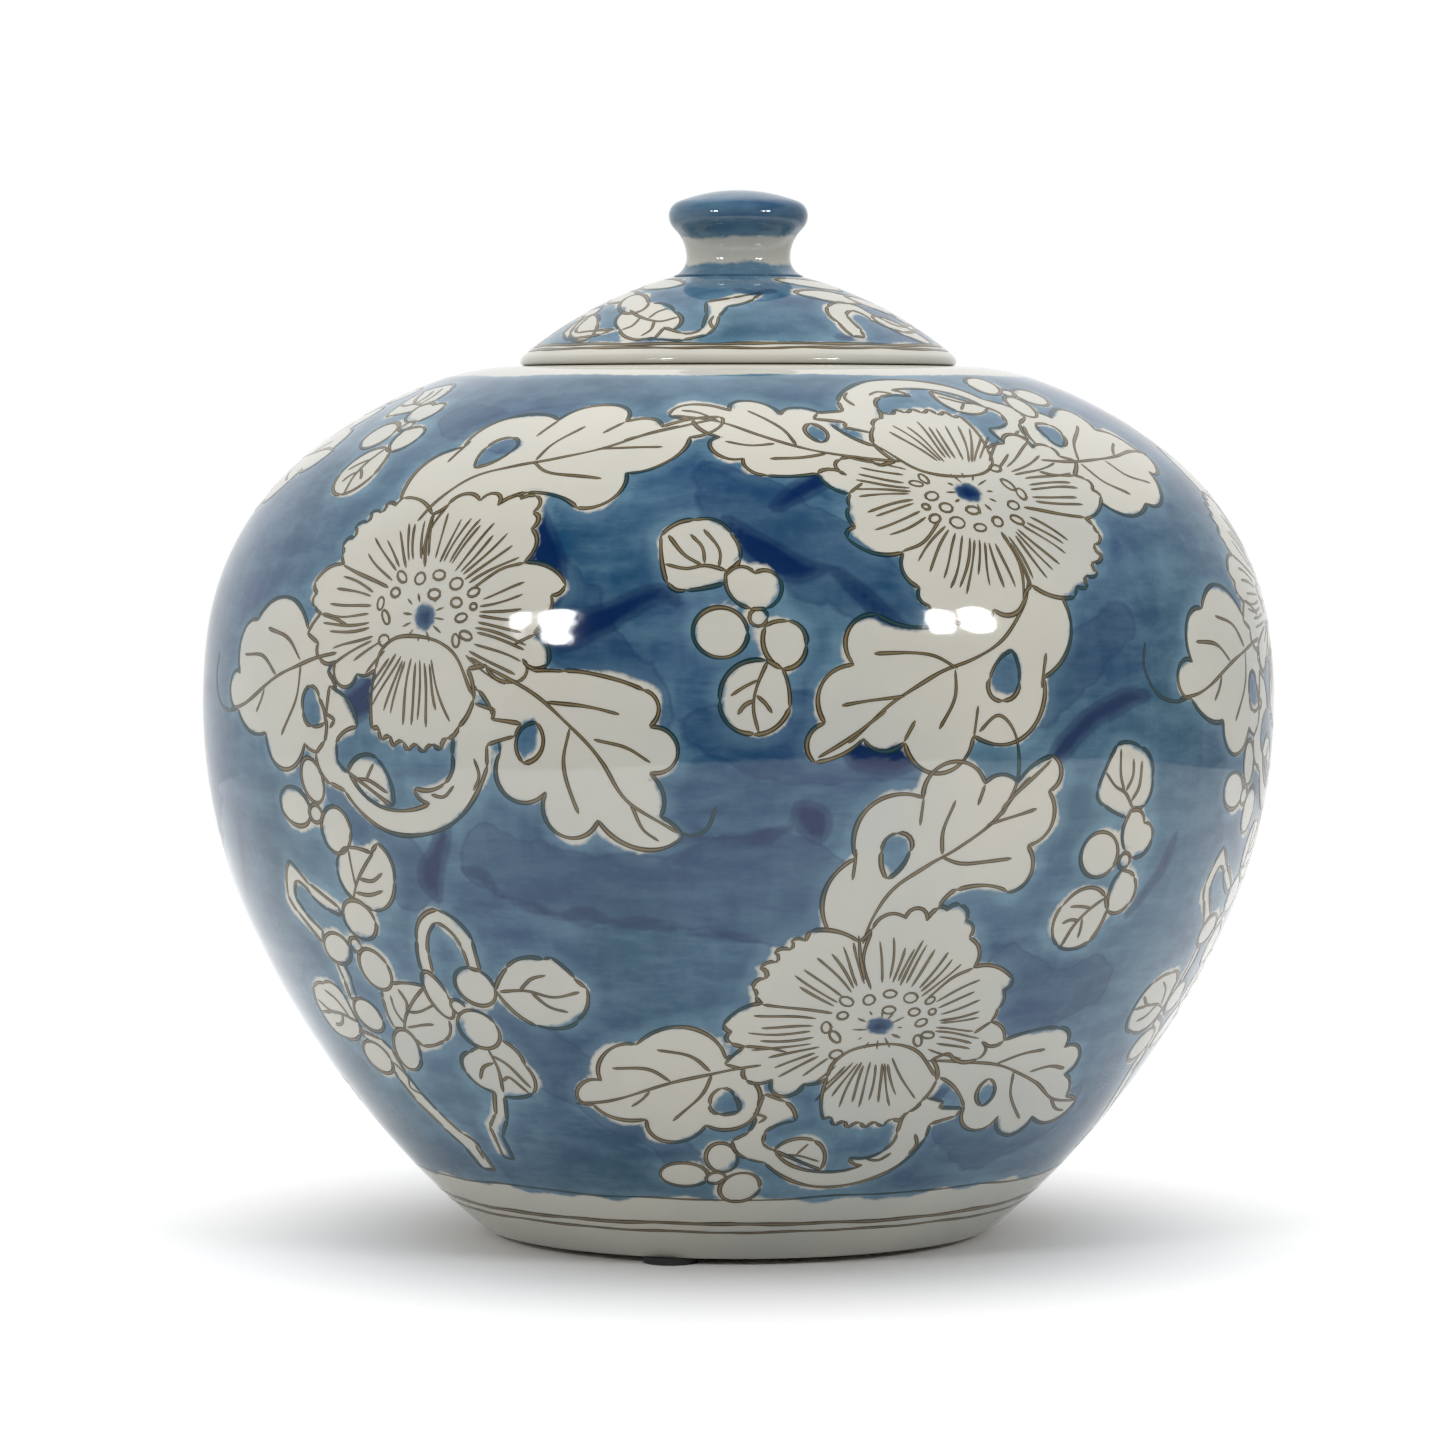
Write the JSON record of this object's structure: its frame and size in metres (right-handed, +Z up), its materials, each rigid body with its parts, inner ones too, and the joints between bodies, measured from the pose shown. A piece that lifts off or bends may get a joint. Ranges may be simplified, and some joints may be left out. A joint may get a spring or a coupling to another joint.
{
  "type": "ginger jar",
  "caption": "Round-shouldered porcelain jar on a narrow foot, with a low domed lift-off lid, a flared knob and soft pads under the foot ring.",
  "frame": {"origin": "middle of the footprint, on the surface that the pads stand on", "axes": "+Z up along the axis of turning, -Y towards the painted front, +X to the viewer's right"},
  "size_m": [0.2532, 0.2532, 0.2467],
  "materials": {
    "jar_porcelain": "glossy clear glaze over cobalt blue wash and iron-brown lines on a warm white body",
    "lid_porcelain": "glossy clear glaze over cobalt blue wash with a plain white band at the edge",
    "knob_porcelain": "glossy clear glaze over cobalt blue wash with a white neck",
    "pad": "matt black self-adhesive foam rubber"
  },
  "bodies": {
    "jar": {"jar_body": "jar_porcelain", "foot_pad_1": "pad", "foot_pad_2": "pad", "foot_pad_3": "pad"},
    "lid": {"lid": "lid_porcelain", "knob": "knob_porcelain"}
  },
  "joints": [
    {"name": "lid_lift", "type": "slide", "parent": "jar", "child": "lid", "axis": [0, 0, 1], "range_m": [0, 0.1]}
  ]
}
